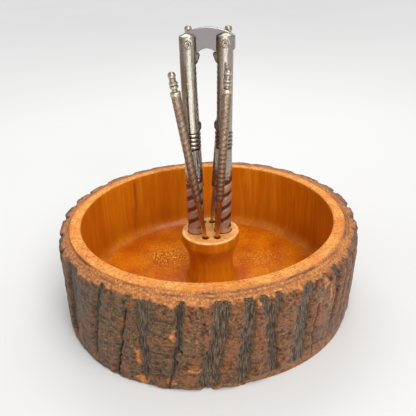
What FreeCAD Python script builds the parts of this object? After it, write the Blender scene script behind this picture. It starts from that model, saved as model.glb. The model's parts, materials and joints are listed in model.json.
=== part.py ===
"""Log nut bowl with its bark on, a post, a hinged nutcracker and four nut picks.

Millimetres. +Z is up and the origin is the centre of the log's base. The nutcracker's arms swing in the XZ plane.
"""

import FreeCAD
import Part

import os
from math import asin, cos, degrees, pi, radians, sin, tan

from FreeCAD import Placement, Rotation, Vector

X, Y, Z = Vector(1, 0, 0), Vector(0, 1, 0), Vector(0, 0, 1)

# ---- driving dimensions: the log and its bark ----
LOG_RADIUS = 86.6  # wood, under the bark
LOG_HEIGHT = 60.0
CAVITY_RADIUS = 80.0
CAVITY_DEPTH = 47.3
CAVITY_X, CAVITY_Y = -0.75, 4.0  # the turned hollow is off the log's centre
WOOD_X, WOOD_Y = -0.75, 1.7  # and so is the wood, as the bark is thicker in front
CAVITY_FLOOR_FILLET = 3.0
RIM_ROUNDING = 0.8
INNER_BARK_RADIUS = 90.0
INNER_BARK_X, INNER_BARK_Y = -0.4, 0.9
BARK_RADIUS = 93.6  # over the ridges, side to side
BARK_BEVEL_WIDTH = 4.2  # the sanded bevel crosses the inner bark
BARK_BEVEL_DROP = 3.4  # and falls this much
BARK_EDGE_DROP = 1.6  # and the rough bark's edge falls this much further
BARK_FOOT_HEIGHT = 7.0
BARK_FOOT_INSET = 3.4
BARK_RIDGES = 30
BARK_FURROW_DEPTH = 1.7
BARK_RIDGE_UNEVENNESS = 0.22  # share of a ridge's pitch
BARK_LOBE_FRONT_BACK = 1.5  # the log reaches this much further to the front and the back
SEAM = 0.05  # between wood and bark layers

# ---- driving dimensions: the post ----
POST_X = CAVITY_X + 2.1
POST_Y = CAVITY_Y
POST_HEIGHT = 35.2  # above the hollow's floor
POST_LIP_RADIUS = 18.6
POST_LIP_HEIGHT = 7.0
POST_LIP_ROUNDING = 0.8
POST_WAIST_RADIUS = 14.4
POST_WAIST_HEIGHT = 13.0
POST_FOOT_RADIUS = 17.1
TENON_RADIUS = 9.0
TENON_LENGTH = 7.5
SCREW_SHANK_RADIUS = 1.9
SCREW_HEAD_RADIUS = 4.0
SCREW_HEAD_SINK = 0.6
SCREW_GRIP_IN_POST = 14.0
SCREW_SLACK = 0.1  # between the screw and the log's base
SCREW_SLOT_WIDTH = 1.0
SCREW_SLOT_DEPTH = 0.9

# ---- driving dimensions: the nutcracker ----
PIVOT_ABOVE_POST = 120.6
PIVOT_HALF_SPACING = 10.5
PIVOT_ASIDE = 1.0  # it leans a little to the right in its sockets
SOCKET_HALF_SPACING = 8.6  # the grips stand closer together than the tops
SOCKET_ASIDE = -0.4
ARM_TOP_RADIUS = 5.05
ARM_GRIP_RADIUS = 5.45
ARM_IN_SOCKET = 9.7
ARM_TIP_RADIUS = 3.3
SOCKET_CLEARANCE = 0.45
SOCKET_BELOW_TIP = 0.3
GRIP_TOP = 36.0  # above the post's top
LEAF_TOP = 57.2  # above the post's top
BEAD_COUNT = 4
BEAD_PITCH = 2.5
BEAD_GROOVE_DEPTH = 0.45
STOP_ABOVE_BEADS = 1.0
STOP_LENGTH = 5.6
STOP_PROUD = 1.1
STOP_HALF_WIDTH = 2.6
JAW_ABOVE_STOP = 0.5
JAW_TOP_BELOW_PIVOT = 12.0
JAW_FLAT_DEPTH = 0.6
TOOTH_PITCH = 3.0
TOOTH_DEPTH = 0.6
LIP_BELOW_PIVOT = 6.8
LIP_LENGTH = 5.4
LIP_PROUD = 2.0
LIP_HALF_WIDTH = 2.4
CAP_EDGE_ABOVE_PIVOT = 3.5
CAP_CONE_HEIGHT = 1.9

PLATE_THICKNESS = 2.2
PLATE_SLOT_CLEARANCE = 0.2
PLATE_SLOT_BELOW_PIVOT = 7.6
PLATE_OFFSET_X = 0.6
PLATE_HALF_WIDTH = 15.9
PLATE_CORNER_ABOVE_PIVOT = 3.2
PLATE_CROWN_ABOVE_PIVOT = 8.2
PLATE_FOOT_BELOW_PIVOT = 5.1
PLATE_FOOT_ROUNDING = 1.6
ARCH_HALF_WIDTH = 5.0
ARCH_FOOT_BELOW_PIVOT = 6.0
ARCH_TOP_BELOW_PIVOT = 3.5
PIN_RADIUS = 1.65
PIN_PROUD = 0.15
PIN_RUNNING_CLEARANCE = 0.05

# ---- driving dimensions: the picks ----
PICK_HOLE_RADIUS = 2.4
PICK_HOLE_DEPTH = 12.6
PICK_TINE_RADIUS = 1.55
PICK_TINE_IN_POST = 11.9
PICK_POINT_RADIUS = 0.3
PICK_POINT_LENGTH = 22.0
PICK_TANG_RADIUS = 1.2
PICK_TANG_LENGTH = 10.0
PICK_HANDLE_FOOT = 26.3  # along the pick, above the post's top
PICK_HANDLE_FOOT_RADIUS = 2.45
PICK_SHORT_HANDLE = 68.2
PICK_LONG_HANDLE = 87.4
PICK_HANDLE_TOP_RADIUS = 2.9
PICK_COLLAR_RADIUS = 3.1
PICK_COLLAR_LENGTH = 2.6
PICK_NECK_RADIUS = 1.7
PICK_NECK_LENGTH = 1.7
PICK_BEAD_RADIUS = 2.6
PICK_BEAD_LENGTH = 2.0
PICK_BEADS = 2
PICK_SMALL_NECK_RADIUS = 1.9
PICK_SMALL_NECK_LENGTH = 1.6
PICK_BALL_RADIUS = 2.3

# name: hole from the post's centre (x, y), lean to the right and to the back in degrees, handle
PICKS = {
    "front_left": (-3.3, -10.3, -8.5, -1.0, PICK_SHORT_HANDLE),
    "front_right": (4.2, -10.3, 4.5, -1.0, PICK_SHORT_HANDLE),
    "back_right": (1.3, 11.5, 5.9, 1.0, PICK_LONG_HANDLE),
    "back_left": (-4.8, 11.5, -2.0, 1.0, PICK_LONG_HANDLE),
}

# ---- levels that follow ----
FLOOR_Z = LOG_HEIGHT - CAVITY_DEPTH
POST_TOP_Z = FLOOR_Z + POST_HEIGHT
PIVOT_Z = POST_TOP_Z + PIVOT_ABOVE_POST
MORTISE_Z = FLOOR_Z - TENON_LENGTH
SOCKET_RADIUS = ARM_GRIP_RADIUS + SOCKET_CLEARANCE

# ---- heights on the nutcracker, from the post's top ----
BEADS_LOW = LEAF_TOP + 0.3
BEADS_HIGH = BEADS_LOW + BEAD_COUNT * BEAD_PITCH
STOP_LOW = BEADS_HIGH + STOP_ABOVE_BEADS
STOP_HIGH = STOP_LOW + STOP_LENGTH
JAW_LOW = STOP_HIGH + JAW_ABOVE_STOP
JAW_HIGH = PIVOT_ABOVE_POST - JAW_TOP_BELOW_PIVOT
LIP_HIGH = PIVOT_ABOVE_POST - LIP_BELOW_PIVOT
LIP_LOW = LIP_HIGH - LIP_LENGTH
CAP_EDGE = PIVOT_ABOVE_POST + CAP_EDGE_ABOVE_PIVOT
PLATE_CORNER = PIVOT_ABOVE_POST + PLATE_CORNER_ABOVE_PIVOT
PLATE_CROWN = PIVOT_ABOVE_POST + PLATE_CROWN_ABOVE_PIVOT
PLATE_FOOT = PIVOT_ABOVE_POST - PLATE_FOOT_BELOW_PIVOT
ARCH_FOOT = PIVOT_ABOVE_POST - ARCH_FOOT_BELOW_PIVOT
ARCH_TOP = PIVOT_ABOVE_POST - ARCH_TOP_BELOW_PIVOT


def revolve(points, x=0.0, y=0.0):
    """A turned solid: points are (radius, height) in order round the closed profile."""
    corners = [Vector(r, 0, z) for r, z in points]
    wire = Part.makePolygon(corners + corners[:1])
    solid = Part.Face(wire).revolve(Vector(0, 0, 0), Z, 360)
    solid.translate(Vector(x, y, 0))
    return solid


def cylinder(radius, low, high, x=0.0, y=0.0):
    return Part.makeCylinder(radius, high - low, Vector(x, y, low), Z)


def extrude_y(edges, front, depth):
    """A flat shape in the XZ plane, given thickness along Y from its front face."""
    solid = Part.Face(Part.Wire(edges)).extrude(Vector(0, depth, 0))
    solid.translate(Vector(0, front, 0))
    return solid


def polygon_xz(points):
    corners = [Vector(x, 0, z) for x, z in points]
    return Part.makePolygon(corners + corners[:1]).Edges


def edges_at(solid, height, radius):
    """The round edges of a solid at one height that have one radius."""
    return [
        e
        for e in solid.Edges
        if hasattr(e.Curve, "Radius")
        and abs(e.Curve.Radius - radius) < 0.01
        and abs(e.BoundBox.ZMin - height) < 0.01
        and abs(e.BoundBox.ZMax - height) < 0.01
    ]


# ---- the log ----


def log_bowl():
    wood = cylinder(LOG_RADIUS, 0, LOG_HEIGHT, WOOD_X, WOOD_Y)
    hollow = cylinder(CAVITY_RADIUS, FLOOR_Z, LOG_HEIGHT + 1, CAVITY_X, CAVITY_Y)
    hollow = hollow.makeFillet(
        CAVITY_FLOOR_FILLET, edges_at(hollow, FLOOR_Z, CAVITY_RADIUS)
    )
    wood = wood.cut(hollow)
    wood = wood.makeFillet(RIM_ROUNDING, edges_at(wood, LOG_HEIGHT, CAVITY_RADIUS))
    mortise = cylinder(TENON_RADIUS, MORTISE_Z, FLOOR_Z + 1, POST_X, POST_Y)
    return wood.cut(mortise).cut(screw_space())


def screw_space():
    """The clearance for the screw's head and shank through the log's base."""
    head, shank = SCREW_HEAD_RADIUS + SCREW_SLACK, SCREW_SHANK_RADIUS + SCREW_SLACK
    profile = [
        (0, -1),
        (head, -1),
        (head, SCREW_HEAD_SINK),
        (shank, SCREW_HEAD_SINK + head - shank),
        (shank, MORTISE_Z + 1),
        (0, MORTISE_Z + 1),
    ]
    return revolve(profile, POST_X, POST_Y)


def inner_bark():
    low = LOG_HEIGHT - BARK_BEVEL_DROP
    profile = [
        (0, 0),
        (INNER_BARK_RADIUS, 0),
        (INNER_BARK_RADIUS, low),
        (INNER_BARK_RADIUS - BARK_BEVEL_WIDTH, LOG_HEIGHT),
        (0, LOG_HEIGHT),
    ]
    wood_space = cylinder(LOG_RADIUS + SEAM, -1, LOG_HEIGHT + 1, WOOD_X, WOOD_Y)
    return revolve(profile, INNER_BARK_X, INNER_BARK_Y).cut(wood_space)


def bark_angle(k):
    """Where furrow k runs: even steps, pushed to and fro so that the ridges differ in width."""
    step = 2 * pi / BARK_RIDGES
    return step * (k + BARK_RIDGE_UNEVENNESS * sin(2.4 * k % (2 * pi)))


def bark_radius(angle):
    """The outside of the bark: a little longer front to back than side to side."""
    return BARK_RADIUS + BARK_LOBE_FRONT_BACK * sin(angle) ** 2


def outer_bark():
    def point(angle, inset):
        r = bark_radius(angle) - inset
        return Vector(r * cos(angle), r * sin(angle), 0)

    ridges = []
    for k in range(BARK_RIDGES):
        a, b = bark_angle(k), bark_angle((k + 1) % BARK_RIDGES)
        b += 2 * pi if b < a else 0
        low_a, low_b = point(a, BARK_FURROW_DEPTH), point(b, BARK_FURROW_DEPTH)
        ridges.append(Part.Arc(low_a, point((a + b) / 2, 0), low_b).toShape())
    outside = Part.Face(Part.Wire(ridges)).extrude(Vector(0, 0, LOG_HEIGHT))
    edge = LOG_HEIGHT - BARK_BEVEL_DROP
    widest = BARK_RADIUS + BARK_LOBE_FRONT_BACK
    envelope = [
        (0, 0),
        (widest - BARK_FOOT_INSET, 0),
        (widest, BARK_FOOT_HEIGHT),
        (widest, edge - BARK_EDGE_DROP),
        (INNER_BARK_RADIUS, edge),
        (0, edge),
    ]
    inside = cylinder(INNER_BARK_RADIUS + SEAM, -1, LOG_HEIGHT, INNER_BARK_X, INNER_BARK_Y)
    return outside.common(revolve(envelope)).cut(inside)


# ---- the post ----


def socket_x(side):
    """Where an arm's axis crosses the post's top."""
    return side * SOCKET_HALF_SPACING + SOCKET_ASIDE


def pivot_x(side):
    return side * PIVOT_HALF_SPACING + PIVOT_ASIDE


def post():
    lip_low = POST_TOP_Z - POST_LIP_HEIGHT
    waist = FLOOR_Z + POST_WAIST_HEIGHT
    outline = [
        Part.LineSegment(Vector(0, 0, MORTISE_Z), Vector(TENON_RADIUS, 0, MORTISE_Z)),
        Part.LineSegment(
            Vector(TENON_RADIUS, 0, MORTISE_Z), Vector(TENON_RADIUS, 0, FLOOR_Z)
        ),
        Part.LineSegment(
            Vector(TENON_RADIUS, 0, FLOOR_Z), Vector(POST_FOOT_RADIUS, 0, FLOOR_Z)
        ),
        Part.Arc(
            Vector(POST_FOOT_RADIUS, 0, FLOOR_Z),
            Vector(POST_WAIST_RADIUS, 0, waist),
            Vector(POST_LIP_RADIUS, 0, lip_low),
        ),
        Part.LineSegment(
            Vector(POST_LIP_RADIUS, 0, lip_low), Vector(POST_LIP_RADIUS, 0, POST_TOP_Z)
        ),
        Part.LineSegment(Vector(POST_LIP_RADIUS, 0, POST_TOP_Z), Vector(0, 0, POST_TOP_Z)),
        Part.LineSegment(Vector(0, 0, POST_TOP_Z), Vector(0, 0, MORTISE_Z)),
    ]
    wire = Part.Wire([piece.toShape() for piece in outline])
    solid = Part.Face(wire).revolve(Vector(0, 0, 0), Z, 360)
    solid = solid.makeFillet(
        POST_LIP_ROUNDING, edges_at(solid, POST_TOP_Z, POST_LIP_RADIUS)
    )
    socket_z = POST_TOP_Z - ARM_IN_SOCKET - SOCKET_BELOW_TIP
    for side in (-1, 1):
        solid = solid.cut(
            cylinder(SOCKET_RADIUS, socket_z, POST_TOP_Z + 1, socket_x(side))
        )
    for x, y, *_ in PICKS.values():
        low = POST_TOP_Z - PICK_HOLE_DEPTH
        solid = solid.cut(cylinder(PICK_HOLE_RADIUS, low, POST_TOP_Z + 1, x, y))
    solid = solid.cut(
        cylinder(SCREW_SHANK_RADIUS, MORTISE_Z - 1, MORTISE_Z + SCREW_GRIP_IN_POST)
    )
    solid.translate(Vector(POST_X, POST_Y, 0))
    return solid


def post_screw():
    head_depth = SCREW_HEAD_RADIUS - SCREW_SHANK_RADIUS
    profile = [
        (0, SCREW_HEAD_SINK),
        (SCREW_HEAD_RADIUS, SCREW_HEAD_SINK),
        (SCREW_SHANK_RADIUS, SCREW_HEAD_SINK + head_depth),
        (SCREW_SHANK_RADIUS, MORTISE_Z + SCREW_GRIP_IN_POST - 2 * SCREW_SHANK_RADIUS),
        (0, MORTISE_Z + SCREW_GRIP_IN_POST),
    ]
    slot = Part.makeBox(
        2 * SCREW_HEAD_RADIUS + 2,
        SCREW_SLOT_WIDTH,
        SCREW_SLOT_DEPTH + 1,
        Vector(
            POST_X - SCREW_HEAD_RADIUS - 1,
            POST_Y - SCREW_SLOT_WIDTH / 2,
            SCREW_HEAD_SINK - 1,
        ),
    )
    return revolve(profile, POST_X, POST_Y).cut(slot)


# ---- the nutcracker; heights from the post's top, x and y from the post's centre ----


def arm_profile():
    """The arm's turned outline, from its rounded tip to its conical cap."""
    shoulder = -ARM_IN_SOCKET / 2
    points = [
        (0, -ARM_IN_SOCKET),
        (ARM_TIP_RADIUS, -ARM_IN_SOCKET),
        ((ARM_TIP_RADIUS + ARM_GRIP_RADIUS) / 2 + 0.3, shoulder),
        (ARM_GRIP_RADIUS, 0.4),
        (ARM_GRIP_RADIUS, GRIP_TOP),
        (ARM_TOP_RADIUS, LEAF_TOP),
    ]
    for k in range(BEAD_COUNT):
        low = BEADS_LOW + k * BEAD_PITCH
        points += [
            (ARM_TOP_RADIUS - BEAD_GROOVE_DEPTH, low),
            (ARM_GRIP_RADIUS, low + 0.3 * BEAD_PITCH),
            (ARM_GRIP_RADIUS, low + 0.7 * BEAD_PITCH),
        ]
    points += [
        (ARM_TOP_RADIUS - BEAD_GROOVE_DEPTH, BEADS_HIGH),
        (ARM_TOP_RADIUS, BEADS_HIGH + 0.6),
        (ARM_TOP_RADIUS, CAP_EDGE),
        (0, CAP_EDGE + CAP_CONE_HEIGHT),
    ]
    return points


def jaw_cut():
    """A flat along the inner side of the right-hand arm, with rounded teeth standing on it."""
    face = -(ARM_TOP_RADIUS - JAW_FLAT_DEPTH)
    reach = 2 * ARM_TOP_RADIUS
    points = [(-reach, JAW_LOW), (face, JAW_LOW)]
    teeth = int((JAW_HIGH - JAW_LOW) / TOOTH_PITCH)
    for k in range(teeth):
        z = JAW_LOW + k * TOOTH_PITCH
        points += [(face + TOOTH_DEPTH, z + 0.5 * TOOTH_PITCH), (face, z + TOOTH_PITCH)]
    points += [(face, JAW_HIGH), (-reach, JAW_HIGH)]
    return extrude_y(polygon_xz(points), -reach, 2 * reach)


def arm(side):
    """One arm with its axis upright through its pivot, then leant. Side is 1 on the right."""
    body = revolve(arm_profile())
    inner = -ARM_TOP_RADIUS
    root = inner + 1.5
    stop = [
        (root, STOP_LOW),
        (inner - STOP_PROUD, STOP_LOW + 1.2),
        (inner - STOP_PROUD, STOP_HIGH - 1.2),
        (root, STOP_HIGH),
    ]
    lip = [(root, LIP_LOW), (inner - LIP_PROUD, LIP_HIGH), (root, LIP_HIGH + 0.8)]
    body = body.fuse(extrude_y(polygon_xz(stop), -STOP_HALF_WIDTH, 2 * STOP_HALF_WIDTH))
    body = body.cut(jaw_cut())
    body = body.fuse(extrude_y(polygon_xz(lip), -LIP_HALF_WIDTH, 2 * LIP_HALF_WIDTH))
    if side < 0:
        body = body.mirror(Vector(0, 0, 0), X)
    slot = Part.makeBox(
        4 * ARM_TOP_RADIUS,
        PLATE_THICKNESS + 2 * PLATE_SLOT_CLEARANCE,
        20,
        Vector(
            -2 * ARM_TOP_RADIUS,
            -PLATE_THICKNESS / 2 - PLATE_SLOT_CLEARANCE,
            PIVOT_ABOVE_POST - PLATE_SLOT_BELOW_PIVOT,
        ),
    )
    body = body.cut(slot)
    body = body.cut(
        Part.makeCylinder(
            PIN_RADIUS,
            4 * ARM_TOP_RADIUS,
            Vector(0, -2 * ARM_TOP_RADIUS, PIVOT_ABOVE_POST),
            Y,
        )
    )
    return lean_and_place(body.removeSplitter(), side)


def lean_and_place(shape, side):
    """Leans a shape about its own pivot so that its foot meets its socket, over the post."""
    lean = asin((pivot_x(side) - socket_x(side)) / PIVOT_ABOVE_POST)
    shape.translate(Vector(0, 0, -PIVOT_ABOVE_POST))
    turn = Placement(Vector(0, 0, 0), Rotation(Y, degrees(lean)))
    shape = shape.transformed(turn.toMatrix())
    shape.translate(Vector(POST_X + pivot_x(side), POST_Y, PIVOT_Z))
    return shape


def pivot_pin(side):
    length = 2 * (ARM_TOP_RADIUS + PIN_PROUD)
    pin = Part.makeCylinder(PIN_RADIUS, length, Vector(0, -length / 2, PIVOT_ABOVE_POST), Y)
    return lean_and_place(pin, side)


def link_plate():
    def at(x, z):
        return Vector(x, 0, z)

    w, corner, foot, r = PLATE_HALF_WIDTH, PLATE_CORNER, PLATE_FOOT, PLATE_FOOT_ROUNDING
    arch_left = -ARCH_HALF_WIDTH - PLATE_OFFSET_X
    arch_right = ARCH_HALF_WIDTH - PLATE_OFFSET_X
    bend = r * (1 - cos(radians(45)))
    outline = [
        Part.Arc(at(-w, corner), at(0, PLATE_CROWN), at(w, corner)),
        Part.LineSegment(at(w, corner), at(w, foot + r)),
        Part.Arc(at(w, foot + r), at(w - bend, foot + bend), at(w - r, foot)),
        Part.LineSegment(at(w - r, foot), at(arch_right, ARCH_FOOT)),
        Part.Arc(
            at(arch_right, ARCH_FOOT),
            at((arch_left + arch_right) / 2, ARCH_TOP),
            at(arch_left, ARCH_FOOT),
        ),
        Part.LineSegment(at(arch_left, ARCH_FOOT), at(r - w, foot)),
        Part.Arc(at(r - w, foot), at(bend - w, foot + bend), at(-w, foot + r)),
        Part.LineSegment(at(-w, foot + r), at(-w, corner)),
    ]
    front = -PLATE_THICKNESS / 2
    plate = extrude_y([e.toShape() for e in outline], front, PLATE_THICKNESS)
    plate.translate(Vector(PLATE_OFFSET_X, 0, 0))
    for side in (-1, 1):
        hole = Part.makeCylinder(
            PIN_RADIUS + PIN_RUNNING_CLEARANCE,
            3 * PLATE_THICKNESS,
            Vector(side * PIVOT_HALF_SPACING, front - PLATE_THICKNESS, PIVOT_ABOVE_POST),
            Y,
        )
        plate = plate.cut(hole)
    plate.translate(Vector(POST_X + PIVOT_ASIDE, POST_Y, POST_TOP_Z))
    return plate


# ---- the picks; heights along the pick from the post's top ----


def pick_tine():
    tang_top = PICK_HANDLE_FOOT + PICK_TANG_LENGTH
    return revolve(
        [
            (0, -PICK_TINE_IN_POST),
            (PICK_POINT_RADIUS, -PICK_TINE_IN_POST),
            (PICK_TINE_RADIUS, PICK_POINT_LENGTH - PICK_TINE_IN_POST),
            (PICK_TINE_RADIUS, PICK_HANDLE_FOOT),
            (PICK_TANG_RADIUS, PICK_HANDLE_FOOT),
            (PICK_TANG_RADIUS, tang_top),
            (0, tang_top),
        ]
    )


def pick_handle(length):
    foot = PICK_HANDLE_FOOT
    collar = foot + length
    points = [
        (PICK_TANG_RADIUS, foot),
        (PICK_HANDLE_FOOT_RADIUS, foot),
        (PICK_HANDLE_TOP_RADIUS, collar),
        (PICK_COLLAR_RADIUS, collar + 0.2),
        (PICK_COLLAR_RADIUS, collar + PICK_COLLAR_LENGTH - 0.4),
        (PICK_NECK_RADIUS, collar + PICK_COLLAR_LENGTH),
    ]
    z = collar + PICK_COLLAR_LENGTH + PICK_NECK_LENGTH
    for _ in range(PICK_BEADS):
        points += [
            (PICK_NECK_RADIUS, z),
            (PICK_BEAD_RADIUS, z + 0.25 * PICK_BEAD_LENGTH),
            (PICK_BEAD_RADIUS, z + 0.75 * PICK_BEAD_LENGTH),
            (PICK_NECK_RADIUS, z + PICK_BEAD_LENGTH),
        ]
        z += PICK_BEAD_LENGTH
    ball = z + PICK_SMALL_NECK_LENGTH + 0.8 * PICK_BALL_RADIUS
    tang_top = foot + PICK_TANG_LENGTH
    points += [
        (PICK_SMALL_NECK_RADIUS, z),
        (PICK_SMALL_NECK_RADIUS, ball),
        (0, ball),
        (0, tang_top),
        (PICK_TANG_RADIUS, tang_top),
    ]
    seen = []
    for p in points:
        if not seen or p != seen[-1]:
            seen.append(p)
    handle = revolve(seen)
    return handle.fuse(Part.makeSphere(PICK_BALL_RADIUS, Vector(0, 0, ball)))


def stand_in_hole(shape, spec):
    """Leans a pick and stands it in its hole, crossing the post's top at the hole's centre."""
    x, y, right, back, _ = spec
    along = Vector(tan(radians(right)), tan(radians(back)), 1)
    shape = shape.transformed(Placement(Vector(0, 0, 0), Rotation(Z, along)).toMatrix())
    shape.translate(Vector(POST_X + x, POST_Y + y, POST_TOP_Z))
    return shape


def main():
    nodes = {
        "log_bowl": log_bowl(),
        "inner_bark": inner_bark(),
        "outer_bark": outer_bark(),
        "post": post(),
        "post_screw": post_screw(),
        "link_plate": link_plate(),
    }
    for name, side in (("left", -1), ("right", 1)):
        nodes[f"{name}_arm"] = arm(side)
        nodes[f"{name}_pivot_pin"] = pivot_pin(side)
    for name, spec in PICKS.items():
        nodes[f"{name}_pick_handle"] = stand_in_hole(pick_handle(spec[-1]), spec)
        nodes[f"{name}_pick_tine"] = stand_in_hole(pick_tine(), spec)
    os.makedirs("parts", exist_ok=True)
    for name, shape in nodes.items():
        box = shape.BoundBox
        print(
            name,
            "valid" if shape.isValid() else "NOT VALID",
            len(shape.Solids),
            round(shape.Volume, 1),
            [round(v, 2) for v in (box.XMin, box.YMin, box.ZMin, box.XMax, box.YMax, box.ZMax)],
        )
        shape.exportStep(f"parts/{name}.step")


main()
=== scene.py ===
"""A nut bowl turned from a log with its bark on, with a nutcracker and four picks standing in its post.

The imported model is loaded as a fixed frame, and each piece is modelled over its part of it. Shapes are written
in millimetres, and the functions that work on a mesh turn them to and from Blender's metres.
"""

import json
import math

import bpy
import numpy as np
from bpy.props import FloatProperty, FloatVectorProperty, IntProperty, PointerProperty
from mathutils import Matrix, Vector


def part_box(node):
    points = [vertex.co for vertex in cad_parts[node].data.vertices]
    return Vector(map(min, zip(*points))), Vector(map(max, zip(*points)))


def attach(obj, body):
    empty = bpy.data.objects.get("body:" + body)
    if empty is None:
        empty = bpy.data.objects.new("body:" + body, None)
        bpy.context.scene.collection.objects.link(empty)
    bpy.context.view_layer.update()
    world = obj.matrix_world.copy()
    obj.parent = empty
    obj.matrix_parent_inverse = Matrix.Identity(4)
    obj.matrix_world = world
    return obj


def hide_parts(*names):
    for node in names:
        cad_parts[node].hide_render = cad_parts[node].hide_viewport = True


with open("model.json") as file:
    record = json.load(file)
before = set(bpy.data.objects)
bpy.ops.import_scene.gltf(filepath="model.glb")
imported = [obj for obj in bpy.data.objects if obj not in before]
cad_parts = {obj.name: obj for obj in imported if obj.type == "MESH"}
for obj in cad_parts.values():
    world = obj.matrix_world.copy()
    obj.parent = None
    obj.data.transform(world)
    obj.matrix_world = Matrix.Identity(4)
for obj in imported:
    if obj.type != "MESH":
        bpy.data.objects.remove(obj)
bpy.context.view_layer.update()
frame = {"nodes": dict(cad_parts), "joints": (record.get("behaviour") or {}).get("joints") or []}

bl_info = {
    "name": "Log nut bowl",
    "version": (1, 0, 0),
    "blender": (4, 5, 0),
    "location": "3D View > Sidebar > Nut bowl",
    "description": "Models a bark-edged nut bowl with its nutcracker and picks over the packed parts",
    "category": "Add Mesh",
}

MM = 0.001
TURN = 2 * math.pi
PICKS = ("front_left", "front_right", "back_right", "back_left")
SIDES = {"left": -1, "right": 1}


def linear(code):
    """An sRGB hex colour as linear red, green, blue and alpha."""
    parts = [int(code[i : i + 2], 16) / 255 for i in (0, 2, 4)]
    return (*(c / 12.92 if c <= 0.04045 else ((c + 0.055) / 1.055) ** 2.4 for c in parts), 1.0)


def middle(node):
    """The middle of a CAD node's box, in millimetres."""
    low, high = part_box(node)
    return (low + high) / 2 / MM


def top(node):
    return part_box(node)[1].z / MM


def foot(node):
    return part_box(node)[0].z / MM


def wide(node):
    """Half a CAD node's width from side to side, in millimetres."""
    low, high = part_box(node)
    return (high.x - low.x) / 2 / MM


# The log's wood, its hollow and the post each have an axis of their own.
WOOD = middle("log_bowl")
HOLLOW = Vector((WOOD.x, middle("post").y, 0))
BAND = middle("inner_bark")
POST = middle("post")
RIM = top("log_bowl")
POST_TOP = top("post")
FLOOR = POST_TOP - 35.2
PIVOT = {name: middle(f"{name}_pivot_pin") for name in SIDES}
PIVOT_RISE = PIVOT["left"].z - POST_TOP


def colour(code, name, use):
    return FloatVectorProperty(
        name=name, description=use, default=linear(code), size=4, min=0, max=1, subtype="COLOR"
    )


def length(mm, name, use):
    return FloatProperty(name=name, description=use, default=mm * MM, min=0, unit="LENGTH", precision=5)


class NutBowlSizes(bpy.types.PropertyGroup):
    """Sizes that the frame leaves open."""

    round_log: IntProperty(
        name="Faces round the log", description="Faces round the rough bark", default=960, min=96, max=960
    )
    furrow_depth: length(2.9, "Furrow depth", "Depth of the bark's deepest furrows")
    plate_unevenness: length(0.45, "Plate unevenness", "Roughness of the plates between the furrows")
    twist_pitch: length(8.1, "Twist pitch", "From one band of the grips' twist to the next")
    twist_depth: length(0.42, "Twist depth", "Depth of the hollows between the grips' bands")
    pick_pitch: length(3.8, "Pick band pitch", "From one band of a pick's handle to the next")
    pick_depth: length(0.2, "Pick band depth", "Depth of the grooves on a pick's handle")
    plate_edge: length(0.35, "Plate edge rounding", "Rounding of the link plate's edges")


class NutBowlColours(bpy.types.PropertyGroup):
    """Colours of the finishes."""

    end_grain: colour("dc9440", "End grain", "The sanded rim and the post's top")
    wall_wood: colour("d0780e", "Long grain", "The hollow's varnished wall and the post's side")
    floor_wood: colour("c87008", "Floor grain", "The hollow's varnished floor")
    inner_bark: colour("b06c38", "Inner bark", "The soft layer under the rough bark")
    plate_left: colour("5c4228", "Bark plates, left", "Olive-brown plates")
    plate_right: colour("744628", "Bark plates, right", "Red-brown plates")
    furrow: colour("4c3b2b", "Bark furrows", "Weathered fibres in the furrows")
    sanded: colour("a66434", "Sanded bark", "Bark where its edges are sanded")
    nickel: colour("a8a196", "Nickel plate", "The nutcracker's arms")
    plate_steel: colour("7e797a", "Link plate", "The nutcracker's plate")
    pick_steel: colour("c4b8a4", "Pick steel", "The picks")
    # the brown of tarnish, also painted on the metal where it stands for a brown reflection
    tarnish: colour("7c6655", "Tarnish", "Brown tarnish in the metal's hollows")


# ---- working on a mesh ----


def nothing_selected():
    if bpy.context.object and bpy.context.object.mode != "OBJECT":
        bpy.ops.object.mode_set(mode="OBJECT")
    bpy.ops.object.select_all(action="DESELECT")


def choose(piece):
    """Makes a piece the only selected object and the active one."""
    nothing_selected()
    piece.select_set(True)
    bpy.context.view_layer.objects.active = piece


def named(name):
    """The object that was just added, with its name and its mesh's."""
    piece = bpy.context.object
    piece.name = piece.data.name = name
    return piece


def fine(outline, pitch):
    """An outline with more points on its long runs, none further apart than the pitch."""
    made = [outline[0]]
    for (r0, z0), (r1, z1) in zip(outline, outline[1:]):
        cuts = max(1, math.ceil(math.hypot(r1 - r0, z1 - z0) / pitch))
        made += [(r0 + (r1 - r0) * k / cuts, z0 + (z1 - z0) * k / cuts) for k in range(1, cuts + 1)]
    return made


def drawn(name, outline):
    """An outline of (x, z), drawn out point by point, all selected and still in edit mode."""
    nothing_selected()
    x, z = outline[0]
    bpy.ops.mesh.primitive_plane_add(size=MM, location=(x * MM, 0, z * MM))
    piece = named(name)
    bpy.ops.object.transform_apply(location=True)
    bpy.ops.object.mode_set(mode="EDIT")
    bpy.ops.mesh.merge(type="CENTER")
    for (x0, z0), (x1, z1) in zip(outline, outline[1:]):
        move = {"value": ((x1 - x0) * MM, 0, (z1 - z0) * MM)}
        bpy.ops.mesh.extrude_vertices_move(TRANSFORM_OT_translate=move)
    bpy.ops.mesh.select_all(action="SELECT")
    return piece


def turned(name, outline, steps):
    """A turned shape: an outline of (radius, height), spun round the upright axis."""
    piece = drawn(name, outline)
    bpy.ops.mesh.spin(steps=steps, angle=TURN, center=(0, 0, 0), axis=(0, 0, 1))
    close_up()
    return piece


def close_up():
    """Merges what a spin or a bridge left double, and turns the faces outwards."""
    bpy.ops.mesh.select_all(action="SELECT")
    bpy.ops.mesh.remove_doubles(threshold=0.002 * MM)
    bpy.ops.mesh.normals_make_consistent(inside=False)
    bpy.ops.object.mode_set(mode="OBJECT")


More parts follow.
